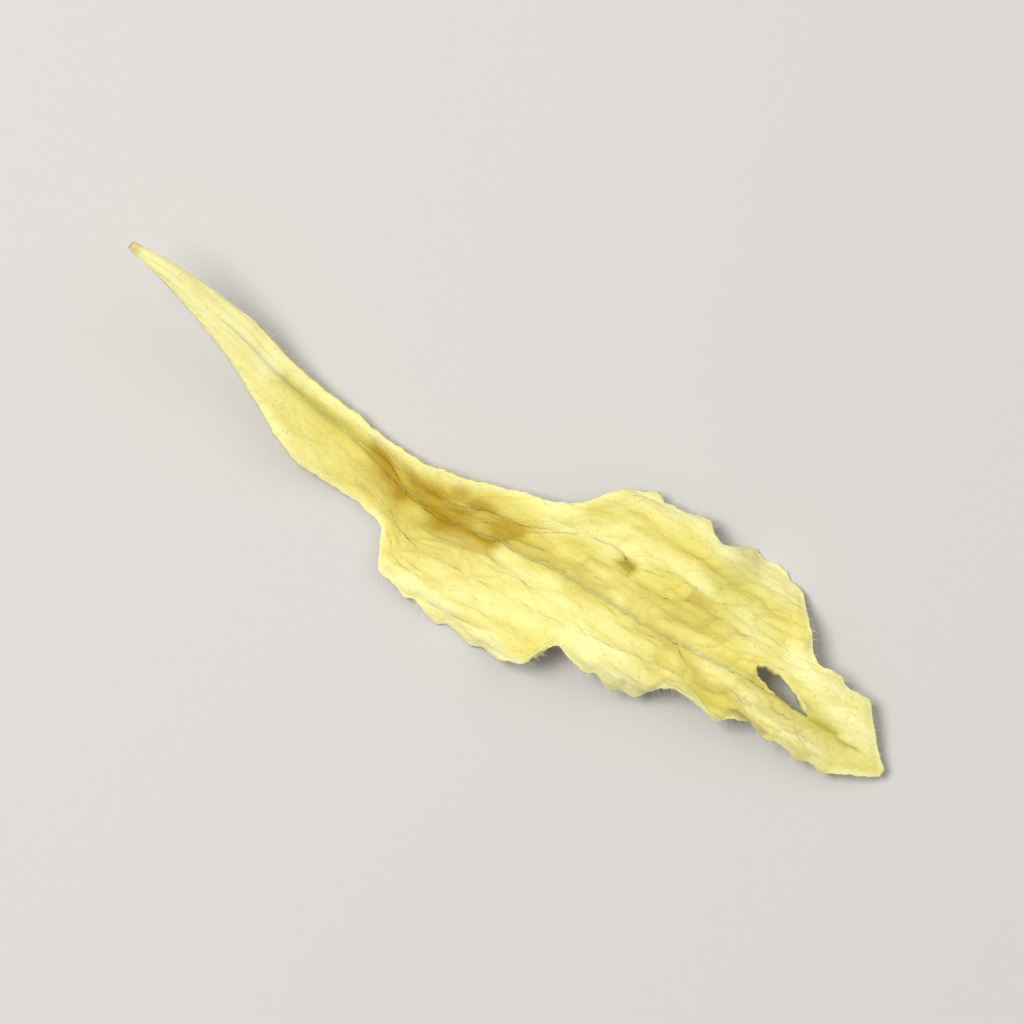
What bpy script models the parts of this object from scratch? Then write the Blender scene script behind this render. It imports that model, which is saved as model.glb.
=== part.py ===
"""A small dried stevia leaf, whole and lying as it comes to rest on a flat surface.

Blender 4.5, metres, +Z up. The leaf runs along +X, from the broken end of its stalk to its tip, with its
upper face up and its left side towards +Y. The origin is under the middle of the leaf's box, on the surface
that it lies on.
"""

import math

import bmesh
import bpy
from mathutils import Vector

MM = 0.001

# Driving dimensions, in millimetres
LEAF_LENGTH = 20.0
BLADE_THICKNESS = 0.62
RIB_THICKNESS = 0.74
STALK_THICKNESS = 0.70

ROWS = 112
COLUMNS = 20

# Stations along the leaf, in millimetres from the broken end of the stalk: (distance, value). The midrib
# sways to the left (+) and right (-) of a straight line, rises and falls, and the whole blade banks.
SWAY = (
    (0, 0.01), (1, 0.03), (2, -0.11), (3, -0.22), (4, -0.42), (5.2, -0.56), (6.8, -0.68), (8.4, -0.98),
    (9.8, -0.70), (11.5, -0.42), (14, -0.26), (16, -0.12), (18, -0.03), (20, -0.03),
)
MIDRIB_HEIGHT = (
    (0, 2.95), (2.5, 1.65), (5, 0.68), (7, 0.30), (9, 0.52), (12, 1.25), (14.5, 1.58), (17.5, 1.30), (20, 0.62),
)
BANK = ((0, 0), (5, 0.10), (8.5, 0.14), (11, 0.03), (14, -0.09), (17, -0.10), (20, 0.05))

# Corners of the serrated margins: (distance along the leaf, distance from the straight line)
LEFT_MARGIN = (
    (0, 0.10), (1, 0.20), (2, 0.18), (3, 0.16), (4, -0.04), (5, -0.12), (6, -0.15), (7, -0.22), (7.8, -0.24),
    (8.6, -0.02), (9.3, 0.26), (10, 0.50), (10.6, 0.58), (11.15, 0.76), (11.45, 1.06), (11.6, 1.52),
    (12.05, 1.88), (12.5, 2.08), (12.8, 1.94), (13.2, 2.02), (13.7, 2.24), (13.9, 2.02), (14.2, 1.92),
    (14.5, 2.08), (15.0, 2.42), (15.2, 2.26), (15.75, 2.36), (15.95, 2.20), (16.35, 2.18), (16.6, 1.92),
    (16.95, 1.60), (17.2, 1.24), (17.5, 1.08), (18.05, 1.16), (18.25, 1.04), (18.9, 1.06), (19.15, 0.80),
    (19.55, 0.42), (20, 0.10),
)
RIGHT_MARGIN = (
    (0, -0.10), (1, -0.18), (2, -0.40), (3, -0.60), (4, -1.02), (5, -1.58), (5.5, -1.76), (6, -1.80),
    (7, -1.86), (7.9, -1.98), (8.1, -2.32), (8.35, -2.72), (8.9, -2.76), (9.15, -2.86), (9.35, -2.74),
    (10.05, -2.90), (10.25, -2.76), (11.0, -2.86), (11.2, -2.72), (12.0, -2.66), (12.2, -2.36),
    (12.5, -1.74), (12.7, -1.62), (12.9, -1.74), (13.35, -1.82), (13.55, -1.66), (14.5, -1.76),
    (14.7, -1.46), (14.9, -1.12), (15.25, -1.02), (15.9, -1.14), (16.35, -1.22), (16.55, -0.96),
    (17.0, -0.78), (17.5, -0.88), (17.7, -0.76), (18.3, -0.88), (18.5, -0.76), (18.9, -0.80), (19.15, -0.60),
    (19.55, -0.40), (20, -0.18),
)

# Half widths without the teeth, which carry the veins and waves
LEFT_HALF = (
    (0, 0.15), (3, 0.42), (5, 0.56), (7.5, 0.62), (9, 1.00), (10.5, 1.35), (12, 2.10), (13.5, 2.50),
    (15.5, 2.60), (17, 1.95), (18.5, 1.35), (19.5, 0.80), (20, 0.20),
)
RIGHT_HALF = (
    (0, 0.15), (3, 0.44), (5, 1.00), (7.5, 1.25), (9, 1.95), (11, 2.35), (13, 2.00), (15, 1.30), (17, 0.90),
    (19, 0.70), (20, 0.20),
)
FULL_HALF = 2.0

# How each half stands from the midrib: slope of the fold there, and how fast it curls down, per millimetre
LEFT_SLOPE = ((0, 0.20), (3, 0.45), (5, 1.05), (7.5, 1.00), (10, 0.65), (13, 0.45), (17, 0.42), (20, 0.30))
RIGHT_SLOPE = ((0, 0.20), (3, 0.40), (5, 0.75), (7.5, 0.60), (10, 0.58), (13, 0.45), (17, 0.30), (20, 0.25))
LEFT_CURL = ((0, 0.0), (5, 0.10), (7.5, 0.12), (10, 0.20), (12.5, 0.21), (15.5, 0.25), (20, 0.20))
RIGHT_CURL = ((0, 0.0), (5, 0.10), (7.5, 0.20), (9, 0.26), (12, 0.28), (15, 0.55), (18, 0.60), (20, 0.30))
FOLD_RADIUS = 0.55

# Sunken nerve of each half, side veins that slant from the midrib, and the waves of the margins
NERVE_PLACE = 0.46
NERVE_DEPTH = 0.13
NERVE_WIDTH = 0.19
SIDE_VEIN_PITCH = 1.45
SIDE_VEIN_DEPTH = 0.05
SIDE_VEIN_SWEEP = 1.5
RUFFLE_HEIGHT = 0.26
LEFT_RUFFLE_PITCH = 3.3
RIGHT_RUFFLE_PITCH = 3.9

# A tear beside the midrib near the tip: start and end in millimetres, the two grid lines that it runs
# between as shares of the half width, and how far it pushes them apart in the middle
TEAR = (16.45, 17.85)
TEAR_LINES = (0.1, 0.2)
TEAR_OPENING = 0.08

# The plane through the three lowest points, which the leaf comes to rest on: its height under the stalk's
# end, and its rise along the leaf and towards its left side
REST_HEIGHT = -0.053
REST_RISE_ALONG = 0.0056
REST_RISE_LEFT = 0.0478

# The three resting spots are flat for this depth, and the middle of the leaf's box stands over the origin
FLAT_DEPTH = 0.08
BOX_MIDDLE = (9.96, -0.22)

LEAF_COLOUR = (0.66, 0.60, 0.20, 1.0)


def stretch(stations, where):
    """The index of the first station past a distance along the leaf, or of the last one."""
    return next((i for i in range(1, len(stations)) if where <= stations[i][0]), len(stations) - 1)


def straight(stations, where):
    """Value at a distance along the leaf, on straight lines from station to station."""
    index = stretch(stations, where)
    (x0, y0), (x1, y1) = stations[index - 1], stations[index]
    return y0 + (y1 - y0) * (where - x0) / (x1 - x0)


def smooth(stations, where):
    """Value at a distance along the leaf, on a smooth curve through the stations that doesn't overshoot."""
    index = stretch(stations, where)
    (x0, y0), (x1, y1) = stations[index - 1], stations[index]
    step = x1 - x0

    def tangent(i):
        if i in (0, len(stations) - 1):
            return (y1 - y0) / step
        before = (stations[i][1] - stations[i - 1][1]) / (stations[i][0] - stations[i - 1][0])
        after = (stations[i + 1][1] - stations[i][1]) / (stations[i + 1][0] - stations[i][0])
        return 0.0 if before * after <= 0 else 2 * before * after / (before + after)

    t = (where - x0) / step
    ease = t * t * (3 - 2 * t)
    lead = t * (1 - t) ** 2 * tangent(index - 1)
    trail = t * t * (1 - t) * tangent(index)
    return y0 + (y1 - y0) * ease + step * (lead - trail)


def relief(where, out):
    """Height of the blade over its midrib, in millimetres, at a distance out from it, + to the left."""
    left = out >= 0
    half = smooth(LEFT_HALF if left else RIGHT_HALF, where)
    slope = smooth(LEFT_SLOPE if left else RIGHT_SLOPE, where)
    curl = smooth(LEFT_CURL if left else RIGHT_CURL, where)
    pitch = LEFT_RUFFLE_PITCH if left else RIGHT_RUFFLE_PITCH
    share = abs(out) / half
    folded = slope * (math.hypot(out, FOLD_RADIUS) - FOLD_RADIUS)
    nerve = NERVE_DEPTH * math.exp(-(((share - NERVE_PLACE) / NERVE_WIDTH) ** 2))
    turn = 2 * math.pi * (where - SIDE_VEIN_SWEEP * abs(out)) / SIDE_VEIN_PITCH
    side_vein = SIDE_VEIN_DEPTH * math.cos(turn) * math.sin(math.pi * min(share, 1.0))
    ruffle = RUFFLE_HEIGHT * min(share, 1.0) ** 3 * math.sin(2 * math.pi * where / pitch)
    in_blade = min(1.0, half / FULL_HALF) ** 2
    return smooth(BANK, where) * out + folded - curl * out**2 + in_blade * (ruffle - nerve - side_vein)


def leaf_point(where, out):
    """A point of the leaf's middle surface, in metres, from millimetres along the leaf and out from its midrib."""
    side = smooth(SWAY, where) + out
    resting = REST_HEIGHT + REST_RISE_ALONG * where + REST_RISE_LEFT * side
    height = smooth(MIDRIB_HEIGHT, where) + relief(where, out) - resting - FLAT_DEPTH
    return MM * Vector((where - BOX_MIDDLE[0], side - BOX_MIDDLE[1], height))


def at_corner(margin, where):
    """The nearest corner of the margin, for a row that ends within half a row of it, or else the row's own place."""
    nearest = min((corner for corner, _ in margin), key=lambda corner: abs(corner - where))
    return nearest if abs(nearest - where) < 0.49 * LEAF_LENGTH / (ROWS - 1) else where


def outline_point(along, across):
    """Millimetres along the leaf and out from the midrib of a grid point from 0 to 1 along and -1 to 1 across.

    Rows bend near the margin, so that each corner of its teeth has a grid point.
    """
    where = along * LEAF_LENGTH
    margin, half = (LEFT_MARGIN, LEFT_HALF) if across >= 0 else (RIGHT_MARGIN, RIGHT_HALF)
    where += (at_corner(margin, where) - where) * across**2
    reach = abs(straight(margin, where) - smooth(SWAY, where))
    spread = smooth(half, where) * (abs(across) - across**2) + reach * across**2
    return where, math.copysign(spread, across) + tear_shift(where, across)


def tear_shift(where, across):
    """How far a point beside the tear is pushed out of it, in millimetres."""
    start, end = TEAR
    beside = any(math.isclose(across, line, abs_tol=0.01) for line in TEAR_LINES)
    if not beside or not start < where < end:
        return 0.0
    opening = TEAR_OPENING * math.sin(math.pi * (where - start) / (end - start))
    return math.copysign(opening, across - sum(TEAR_LINES) / 2)


def thickness_at(where, share):
    """Thickness of the leaf in millimetres: round in the stalk, thicker along the midrib than in the blade."""
    stalk = 1 - min(1.0, max(0.0, (where - 3.0) / 3.0))
    round_stalk = STALK_THICKNESS * math.sqrt(max(0.15, 1 - share**2))
    rib = BLADE_THICKNESS + (RIB_THICKNESS - BLADE_THICKNESS) * (1 - where / LEAF_LENGTH)
    blade = BLADE_THICKNESS + (rib - BLADE_THICKNESS) * math.exp(-((share / 0.2) ** 2))
    return stalk * round_stalk + (1 - stalk) * blade


def empty_scene():
    for old in list(bpy.data.objects):
        bpy.data.objects.remove(old, do_unlink=True)


def move_to_collection(name, obj):
    collection = bpy.data.collections.new(name)
    bpy.context.scene.collection.children.link(collection)
    for old in obj.users_collection:
        old.objects.unlink(obj)
    collection.objects.link(obj)


def leaf_material():
    material = bpy.data.materials.new("dried_leaf")
    material.use_nodes = True
    shader = material.node_tree.nodes["Principled BSDF"]
    shader.inputs["Base Color"].default_value = LEAF_COLOUR
    shader.inputs["Roughness"].default_value = 0.75
    shader.inputs["Metallic"].default_value = 0.0
    return material


def torn_faces(sheet):
    """Faces of the flat grid that the tear takes out: those between its two lines, from its start to its end."""
    start, end = TEAR
    for face in sheet.faces:
        middle = face.calc_center_median()
        where = (middle.x + 1) / 2 * LEAF_LENGTH
        if start < where < end and TEAR_LINES[0] < middle.y < TEAR_LINES[1]:
            yield face


def leaf_sheet():
    """The leaf's middle surface, torn beside the midrib, with its thickness in a vertex group."""
    bpy.ops.mesh.primitive_grid_add(x_subdivisions=ROWS - 1, y_subdivisions=COLUMNS, size=2)
    leaf = bpy.context.object
    leaf.name = "leaf"
    sheet = bmesh.new()
    sheet.from_mesh(leaf.data)
    bmesh.ops.delete(sheet, geom=list(torn_faces(sheet)), context="FACES")
    bmesh.ops.triangulate(sheet, faces=sheet.faces)
    sheet.to_mesh(leaf.data)
    sheet.free()
    thickness = leaf.vertex_groups.new(name="thickness")
    for vertex in leaf.data.vertices:
        across = vertex.co.y
        where, out = outline_point((vertex.co.x + 1) / 2, across)
        weight = thickness_at(where, abs(across)) / RIB_THICKNESS
        thickness.add([vertex.index], weight, "REPLACE")
        vertex.co = leaf_point(where, out)
    leaf.data.shade_smooth()
    return leaf


def floor_cutter():
    """A block under the surface that the leaf lies on, to cut its three resting spots flat."""
    side = 1.5 * LEAF_LENGTH * MM
    bpy.ops.mesh.primitive_cube_add(size=side, location=(0, 0, -side / 2))
    cutter = bpy.context.object
    cutter.name = "floor_cutter"
    cutter.hide_render = True
    cutter.display_type = "WIRE"
    return cutter


def main():
    empty_scene()
    leaf = leaf_sheet()
    leaf.data.materials.append(leaf_material())
    solid = leaf.modifiers.new("thickness", "SOLIDIFY")
    solid.thickness = RIB_THICKNESS * MM
    solid.offset = 0
    solid.vertex_group = "thickness"
    cutter = floor_cutter()
    flat = leaf.modifiers.new("resting_spots", "BOOLEAN")
    flat.operation = "DIFFERENCE"
    flat.object = cutter
    move_to_collection("stevia_leaf", leaf)
    move_to_collection("cutters", cutter)


main()
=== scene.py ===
"""A small dried stevia leaf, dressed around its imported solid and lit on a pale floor.

The leaf runs along +X from the end of its stalk to its tip, with its upper face up and its left half towards
+Y. Sizes of the leaf are in millimetres until a mesh is made, and then in metres.
"""

import logging
import math
import random
from collections.abc import Callable
from dataclasses import dataclass, field
from enum import Enum

import bpy
import numpy as np
from mathutils import Matrix, Vector, noise


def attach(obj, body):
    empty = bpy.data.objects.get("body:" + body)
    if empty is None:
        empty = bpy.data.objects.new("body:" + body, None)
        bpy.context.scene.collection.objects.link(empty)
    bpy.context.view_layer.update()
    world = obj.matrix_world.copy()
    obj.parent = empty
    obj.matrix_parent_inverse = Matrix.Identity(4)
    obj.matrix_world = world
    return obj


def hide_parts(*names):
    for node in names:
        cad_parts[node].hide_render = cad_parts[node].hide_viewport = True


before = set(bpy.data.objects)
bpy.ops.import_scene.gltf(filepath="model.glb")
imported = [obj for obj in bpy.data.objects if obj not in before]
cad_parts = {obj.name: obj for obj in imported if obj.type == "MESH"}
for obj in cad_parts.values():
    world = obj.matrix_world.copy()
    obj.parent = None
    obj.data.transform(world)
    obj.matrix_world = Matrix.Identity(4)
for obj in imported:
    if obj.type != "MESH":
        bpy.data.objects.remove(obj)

LOG = logging.getLogger("stevia_leaf")

MM = 0.001
BLADE_MAP = "blade"
NOISE_GAIN = 2.0  # Blender's smooth noise seldom passes a half.

Stations = tuple[tuple[float, float], ...]
Place = tuple[float, float]
Triple = tuple[float, float, float]
Colour = tuple[float, float, float, float]
Array = np.ndarray
Tree = bpy.types.NodeTree
Node = bpy.types.Node
Socket = bpy.types.NodeSocket
Inputs = dict[str | int, Socket | float | tuple[float, ...]]


class Tint(Enum):
    """What a spot of the blade is tinted with. The pale tint is paler tissue with painted highlight on the
    stalk, the lit ridges and the margins; the dark yellow-green tint is painted shade in the furrows, creases
    and the pit; the golden tint is painted shade of the hollow at the blade's base and of creases by the
    midrib, in a golden tone; the brown tint is brown tissue at the torn and broken edges and in streaks near
    the tip, and the pit's dark middle, which is painted shade. The value names the mesh attribute that holds
    it.
    """

    PALE_AND_HIGHLIGHT = "pale"
    CREASE_SHADE = "olive"
    GOLDEN_SHADE = "golden"
    BROWN = "brown"


PALE_AND_HIGHLIGHT, CREASE_SHADE, GOLDEN_SHADE, BROWN = Tint

class Face(Enum):
    """The faces of the thickened blade, each with the material slot of its finish."""

    UPPER = 0
    UNDER = 1
    EDGE = 2


def curve_through(stations: Stations, where: Array) -> Array:
    """Read a smooth curve through stations that doesn't overshoot them.

    Args:
        stations: Pairs of distance along the leaf and value.
        where: Distances along the leaf.

    Returns:
        The curve's value at each distance.
    """
    xs, ys = np.array(stations, float).T
    slopes = np.diff(ys) / np.diff(xs)
    before, after = slopes[:-1], slopes[1:]
    same_way = before * after > 0
    total = np.where(same_way, before + after, 1.0)
    tangents = np.concatenate((slopes[:1], np.where(same_way, 2 * before * after / total, 0.0), slopes[-1:]))
    right = np.clip(np.searchsorted(xs, where), 1, len(xs) - 1)
    left = right - 1
    step = xs[right] - xs[left]
    t = (where - xs[left]) / step
    ease = t * t * (3 - 2 * t)
    lead = t * (1 - t) ** 2 * tangents[left]
    trail = t * t * (1 - t) * tangents[right]
    return ys[left] + (ys[right] - ys[left]) * ease + step * (lead - trail)


def line_through(stations: Stations, where: Array) -> Array:
    """Return the value at each distance on straight lines from station to station."""
    xs, ys = np.array(stations, float).T
    return np.interp(where, xs, ys)


def bell(distance: Array, width: float) -> Array:
    """Return 1 on a line and less away from it, in a bell of the given width."""
    return np.exp(-((distance / width) ** 2))


def ramp(low: float, high: float, value: Array) -> Array:
    """Return 0 up to low, 1 from high and a smooth step between them."""
    t = np.clip((value - low) / (high - low), 0.0, 1.0)
    return t * t * (3 - 2 * t)


def between(rising: Place, falling: Place, where: Array) -> Array:
    """Return 1 between two stretches, with a smooth rise over the first and a fall over the second."""
    return ramp(*rising, where) * (1 - ramp(*falling, where))


def noise_at(pattern: Callable[[Vector], float], where: Array, out: Array, seed: float) -> Array:
    """Return a pattern's value at each place along and across it, in the layer of noise at the seed."""
    values = (pattern(Vector((u, v, seed))) for u, v in zip(where.ravel(), out.ravel()))
    return np.fromiter(values, float, where.size).reshape(where.shape)


def cell_gap(place: Vector) -> float:
    """Return how far a place is from the edge of its cell: 0 on it and up to about 1 inside."""
    nearest, _ = noise.voronoi(place)
    return nearest[1] - nearest[0]


@dataclass(frozen=True)
class Waves:
    """Soft unevenness of the blade: the height, length and width of its waves, and their layer of noise."""

    height: float
    along: float
    across: float
    seed: float

    def over(self, where: Array, out: Array) -> Array:
        """Return how high the waves stand at each place along the leaf and out from its midrib."""
        values = noise_at(noise.noise, where / self.along, out / self.across, self.seed)
        return self.height * NOISE_GAIN * values


@dataclass(frozen=True)
class VeinNet:
    """A net of fine veins: its cells, its threads, and how far the tissue swells between them."""

    along: float
    across: float
    seed: float
    thread: float
    strength: float
    swelling: float
    shoulder: float

    def gap(self, where: Array, out: Array) -> Array:
        """Return how far each place is from the threads: 0 on them and up to about 1 inside a cell."""
        return noise_at(cell_gap, where / self.along, out / self.across, self.seed)


@dataclass(frozen=True)
class HalfForm:
    """One half of the blade, between its midrib and its toothed margin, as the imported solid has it."""

    margin: Stations
    half: Stations
    slope: Stations
    curl: Stations
    ruffle_pitch: float
    fray_seed: float


@dataclass(frozen=True)
class LeafForm:
    """The leaf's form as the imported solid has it: its outline, and how high each point of it lies."""

    length: float = 20.0
    box_middle: Place = (9.96, -0.22)
    sway: Stations = (
        (0, 0.01), (1, 0.03), (2, -0.11), (3, -0.22), (4, -0.42), (5.2, -0.56), (6.8, -0.68), (8.4, -0.98),
        (9.8, -0.70), (11.5, -0.42), (14, -0.26), (16, -0.12), (18, -0.03), (20, -0.03),
    )
    midrib_height: Stations = (
        (0, 2.95), (2.5, 1.65), (5, 0.68), (7, 0.30), (9, 0.52), (12, 1.25), (14.5, 1.58), (17.5, 1.30),
        (20, 0.62),
    )
    bank: Stations = ((0, 0), (5, 0.10), (8.5, 0.14), (11, 0.03), (14, -0.09), (17, -0.10), (20, 0.05))
    left: HalfForm = HalfForm(
        margin=(
            (0, 0.10), (1, 0.22), (2, 0.25), (3, 0.22), (3.6, 0.10), (4.2, -0.04), (5, -0.12), (6, -0.15),
            (7, -0.22), (7.8, -0.24), (8.6, -0.02), (9.3, 0.26), (10, 0.52), (10.6, 0.70), (11.0, 0.92),
            (11.3, 1.20), (11.5, 1.56), (11.75, 1.84), (12.05, 1.96), (12.45, 2.16), (12.75, 2.02),
            (13.2, 2.12), (13.75, 2.38), (13.92, 2.12), (14.2, 2.02), (14.5, 2.18), (14.95, 2.52),
            (15.15, 2.40), (15.75, 2.48), (15.95, 2.30), (16.35, 2.24), (16.55, 1.98), (16.95, 1.66),
            (17.2, 1.30), (17.5, 1.14), (18.05, 1.22), (18.25, 1.08), (18.85, 1.12), (19.1, 0.84),
            (19.55, 0.44), (20, 0.05),
        ),
        half=(
            (0, 0.15), (3, 0.42), (5, 0.56), (7.5, 0.62), (9, 1.00), (10.5, 1.35), (12, 2.10), (13.5, 2.50),
            (15.5, 2.60), (17, 1.95), (18.5, 1.35), (19.5, 0.80), (20, 0.20),
        ),
        slope=((0, 0.20), (3, 0.45), (5, 1.05), (7.5, 1.00), (10, 0.65), (13, 0.45), (17, 0.42), (20, 0.30)),
        curl=((0, 0.0), (5, 0.10), (7.5, 0.12), (10, 0.20), (12.5, 0.21), (15.5, 0.25), (20, 0.20)),
        ruffle_pitch=3.3,
        fray_seed=4.0,
    )
    right: HalfForm = HalfForm(
        margin=(
            (0, -0.10), (1, -0.23), (2, -0.47), (3, -0.76), (4, -1.18), (5, -1.62), (5.5, -1.76), (6, -1.77),
            (7, -1.72), (7.6, -1.76), (7.9, -1.92), (8.1, -2.30), (8.35, -2.72), (8.9, -2.76), (9.15, -2.87),
            (9.35, -2.75), (10.05, -2.91), (10.25, -2.77), (11.0, -2.88), (11.2, -2.73), (11.75, -2.74),
            (12.2, -2.52), (12.32, -2.20), (12.45, -1.86), (12.6, -1.76), (12.75, -1.86), (13.35, -1.94),
            (13.5, -1.78), (14.0, -1.92), (14.15, -1.80), (14.6, -1.78), (14.75, -1.52), (14.9, -1.24),
            (15.25, -1.13), (15.9, -1.18), (16.35, -1.24), (16.55, -0.96), (17.0, -0.78), (17.5, -0.88),
            (17.7, -0.76), (18.3, -0.88), (18.5, -0.76), (18.9, -0.80), (19.15, -0.60), (19.55, -0.40),
            (20, -0.12),
        ),
        half=(
            (0, 0.15), (3, 0.44), (5, 1.00), (7.5, 1.25), (9, 1.95), (11, 2.35), (13, 2.00), (15, 1.30),
            (17, 0.90), (19, 0.70), (20, 0.20),
        ),
        slope=((0, 0.20), (3, 0.40), (5, 0.75), (7.5, 0.60), (10, 0.58), (13, 0.45), (17, 0.30), (20, 0.25)),
        curl=((0, 0.0), (5, 0.10), (7.5, 0.20), (9, 0.26), (12, 0.28), (15, 0.55), (18, 0.60), (20, 0.30)),
        ruffle_pitch=3.9,
        fray_seed=9.0,
    )
    full_half: float = 2.0
    fold_radius: float = 0.55
    nerve_place: float = 0.46
    nerve_depth: float = 0.13
    nerve_width: float = 0.19
    ruffle_height: float = 0.26
    rest_height: float = -0.053
    rest_rise_along: float = 0.0056
    rest_rise_left: float = 0.0478
    flat_depth: float = 0.08

    def of_halves(self, name: str, where: Array, is_left: Array) -> Array:
        """Return the named curve's value at each place, from the half that the place is in."""
        left, right = (curve_through(getattr(half, name), where) for half in (self.left, self.right))
        return np.where(is_left, left, right)

    def height(self, where: Array, out: Array) -> Array:
        """Say how high the blade's middle lies.

        Args:
            where: Distances along the leaf.
            out: Distances out from the midrib, + to the left.

        Returns:
            Heights over the surface that the leaf lies on.
        """
        is_left = out >= 0
        half = self.of_halves("half", where, is_left)
        slope = self.of_halves("slope", where, is_left)
        curl = self.of_halves("curl", where, is_left)
        pitch = np.where(is_left, self.left.ruffle_pitch, self.right.ruffle_pitch)
        share = np.abs(out) / half
        folded = slope * (np.hypot(out, self.fold_radius) - self.fold_radius)
        nerve = self.nerve_depth * bell(share - self.nerve_place, self.nerve_width)
        ruffle = self.ruffle_height * np.minimum(share, 1.0) ** 3 * np.sin(2 * math.pi * where / pitch)
        in_blade = np.minimum(1.0, half / self.full_half) ** 2
        relief = curve_through(self.bank, where) * out + folded - curl * out**2 + in_blade * (ruffle - nerve)
        side = curve_through(self.sway, where) + out
        resting = self.rest_height + self.rest_rise_along * where + self.rest_rise_left * side
        return curve_through(self.midrib_height, where) + relief - resting - self.flat_depth


@dataclass(frozen=True)
class Mark:
    """A crease, ridge, hollow or stain of the blade, along a line between two places seen from above.

    Its depth is how far it sinks in, and a ridge's is below 0. Its tint paints shade into a crease, hollow or
    pit and highlight onto a ridge or lit strip, and is the tissue's own colour in a stain.
    """

    start: Place
    end: Place
    width: float
    depth: float
    tint: Tint
    strength: float

    def shade(self, where: Array, side: Array) -> Array:
        """Say how far each place is in the mark.

        Args:
            where: Distances along the leaf.
            side: Distances to the left of its straight line.

        Returns:
            1 on the mark's line and 0 well away from it. The longer the mark, the slower its ends fade.
        """
        (x0, y0), (x1, y1) = self.start, self.end
        length = math.hypot(x1 - x0, y1 - y0)
        run_x, run_y = (x1 - x0) / length, (y1 - y0) / length
        along = (where - x0) * run_x + (side - y0) * run_y
        across = (side - y0) * run_x - (where - x0) * run_y
        slowness = 1 + 0.5 * min(length, 2.0)
        beyond = np.maximum(np.maximum(-along, along - length), 0.0) / slowness
        return bell(np.hypot(beyond, across), self.width)


# Pale marks are paler tissue with painted highlight; the dark yellow-green and golden marks are painted shade
# in furrows, creases, hollow places and a pit; brown marks are brown tissue, apart from the pit's painted
# shade.
MARKS = (
    Mark((0.3, 0.0), (3.4, -0.30), 0.50, 0.00, PALE_AND_HIGHLIGHT, 1.00),
    # Painted shade in the furrow at the blade's base, with painted highlight on the strip beside it.
    Mark((4.4, -0.42), (7.0, -0.60), 0.18, 0.05, CREASE_SHADE, 0.70),
    Mark((5.0, -0.24), (6.9, -0.28), 0.11, -0.03, PALE_AND_HIGHLIGHT, 0.50),
    Mark((4.5, -1.20), (5.6, -1.45), 0.30, 0.00, PALE_AND_HIGHLIGHT, 0.45),
    # Painted shade of the hollow at the blade's base, in a golden tone.
    Mark((7.0, -0.62), (7.8, -0.72), 0.34, 0.00, GOLDEN_SHADE, 0.95),
    Mark((7.9, -0.92), (9.3, -0.78), 0.55, 0.08, GOLDEN_SHADE, 1.00),
    Mark((9.3, -0.60), (10.2, -0.40), 0.42, 0.04, GOLDEN_SHADE, 0.80),
    Mark((9.2, -0.20), (10.0, -0.16), 0.24, 0.00, GOLDEN_SHADE, 0.75),
    Mark((10.6, -0.30), (12.4, -0.28), 0.22, 0.02, GOLDEN_SHADE, 0.30),
    # Painted highlight on the margin strips, lighter where they curl away from the light.
    Mark((9.6, -2.20), (12.4, -1.35), 0.55, -0.04, PALE_AND_HIGHLIGHT, 0.50),
    Mark((8.7, -2.60), (11.9, -2.60), 0.28, 0.00, PALE_AND_HIGHLIGHT, 0.95),
    Mark((10.7, -0.95), (13.8, -0.80), 0.24, 0.00, PALE_AND_HIGHLIGHT, 0.55),
    Mark((10.9, 0.45), (12.7, 0.90), 0.34, 0.00, PALE_AND_HIGHLIGHT, 0.65),
    Mark((12.8, -1.40), (14.4, -1.50), 0.36, -0.03, PALE_AND_HIGHLIGHT, 1.00),
    # A small pit whose middle is darkened: painted shade.
    Mark((12.60, 0.53), (12.82, 0.51), 0.15, 0.12, CREASE_SHADE, 1.00),
    Mark((12.64, 0.53), (12.78, 0.52), 0.10, 0.03, BROWN, 0.50),
    Mark((12.2, 2.00), (15.9, 2.14), 0.32, -0.02, PALE_AND_HIGHLIGHT, 0.80),
    Mark((12.2, 1.50), (15.9, 1.54), 0.13, 0.04, CREASE_SHADE, 0.30),
    Mark((12.8, 1.16), (15.6, 1.08), 0.16, -0.035, PALE_AND_HIGHLIGHT, 0.62),
    Mark((14.2, 0.70), (15.4, 0.66), 0.15, 0.03, GOLDEN_SHADE, 0.40),
    Mark((15.9, 0.80), (16.6, 0.62), 0.30, 0.00, PALE_AND_HIGHLIGHT, 0.60),
    Mark((13.6, 0.32), (15.3, 0.34), 0.14, 0.04, CREASE_SHADE, 0.45),
    Mark((12.4, 0.18), (14.9, 0.20), 0.17, 0.00, GOLDEN_SHADE, 0.22),
    Mark((12.0, -0.02), (14.7, -0.12), 0.12, -0.03, GOLDEN_SHADE, 0.12),
    Mark((13.9, -0.55), (16.2, -0.55), 0.15, 0.04, GOLDEN_SHADE, 0.28),
    Mark((15.1, -0.15), (16.1, -0.22), 0.20, 0.00, PALE_AND_HIGHLIGHT, 0.50),
    Mark((17.2, 0.85), (19.1, 0.55), 0.40, -0.02, PALE_AND_HIGHLIGHT, 1.00),
    Mark((16.6, -0.42), (18.9, -0.48), 0.18, -0.02, PALE_AND_HIGHLIGHT, 0.75),
    Mark((16.4, -0.16), (17.8, -0.22), 0.20, 0.00, BROWN, 0.20),
    # Painted shade in the crease that runs on from the tear.
    Mark((18.15, 0.12), (18.9, 0.10), 0.14, 0.05, CREASE_SHADE, 0.90),
    Mark((16.5, -0.78), (17.3, -0.82), 0.13, 0.03, BROWN, 0.55),
    Mark((17.3, -0.86), (19.2, -0.80), 0.07, 0.00, BROWN, 0.35),
)


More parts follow.
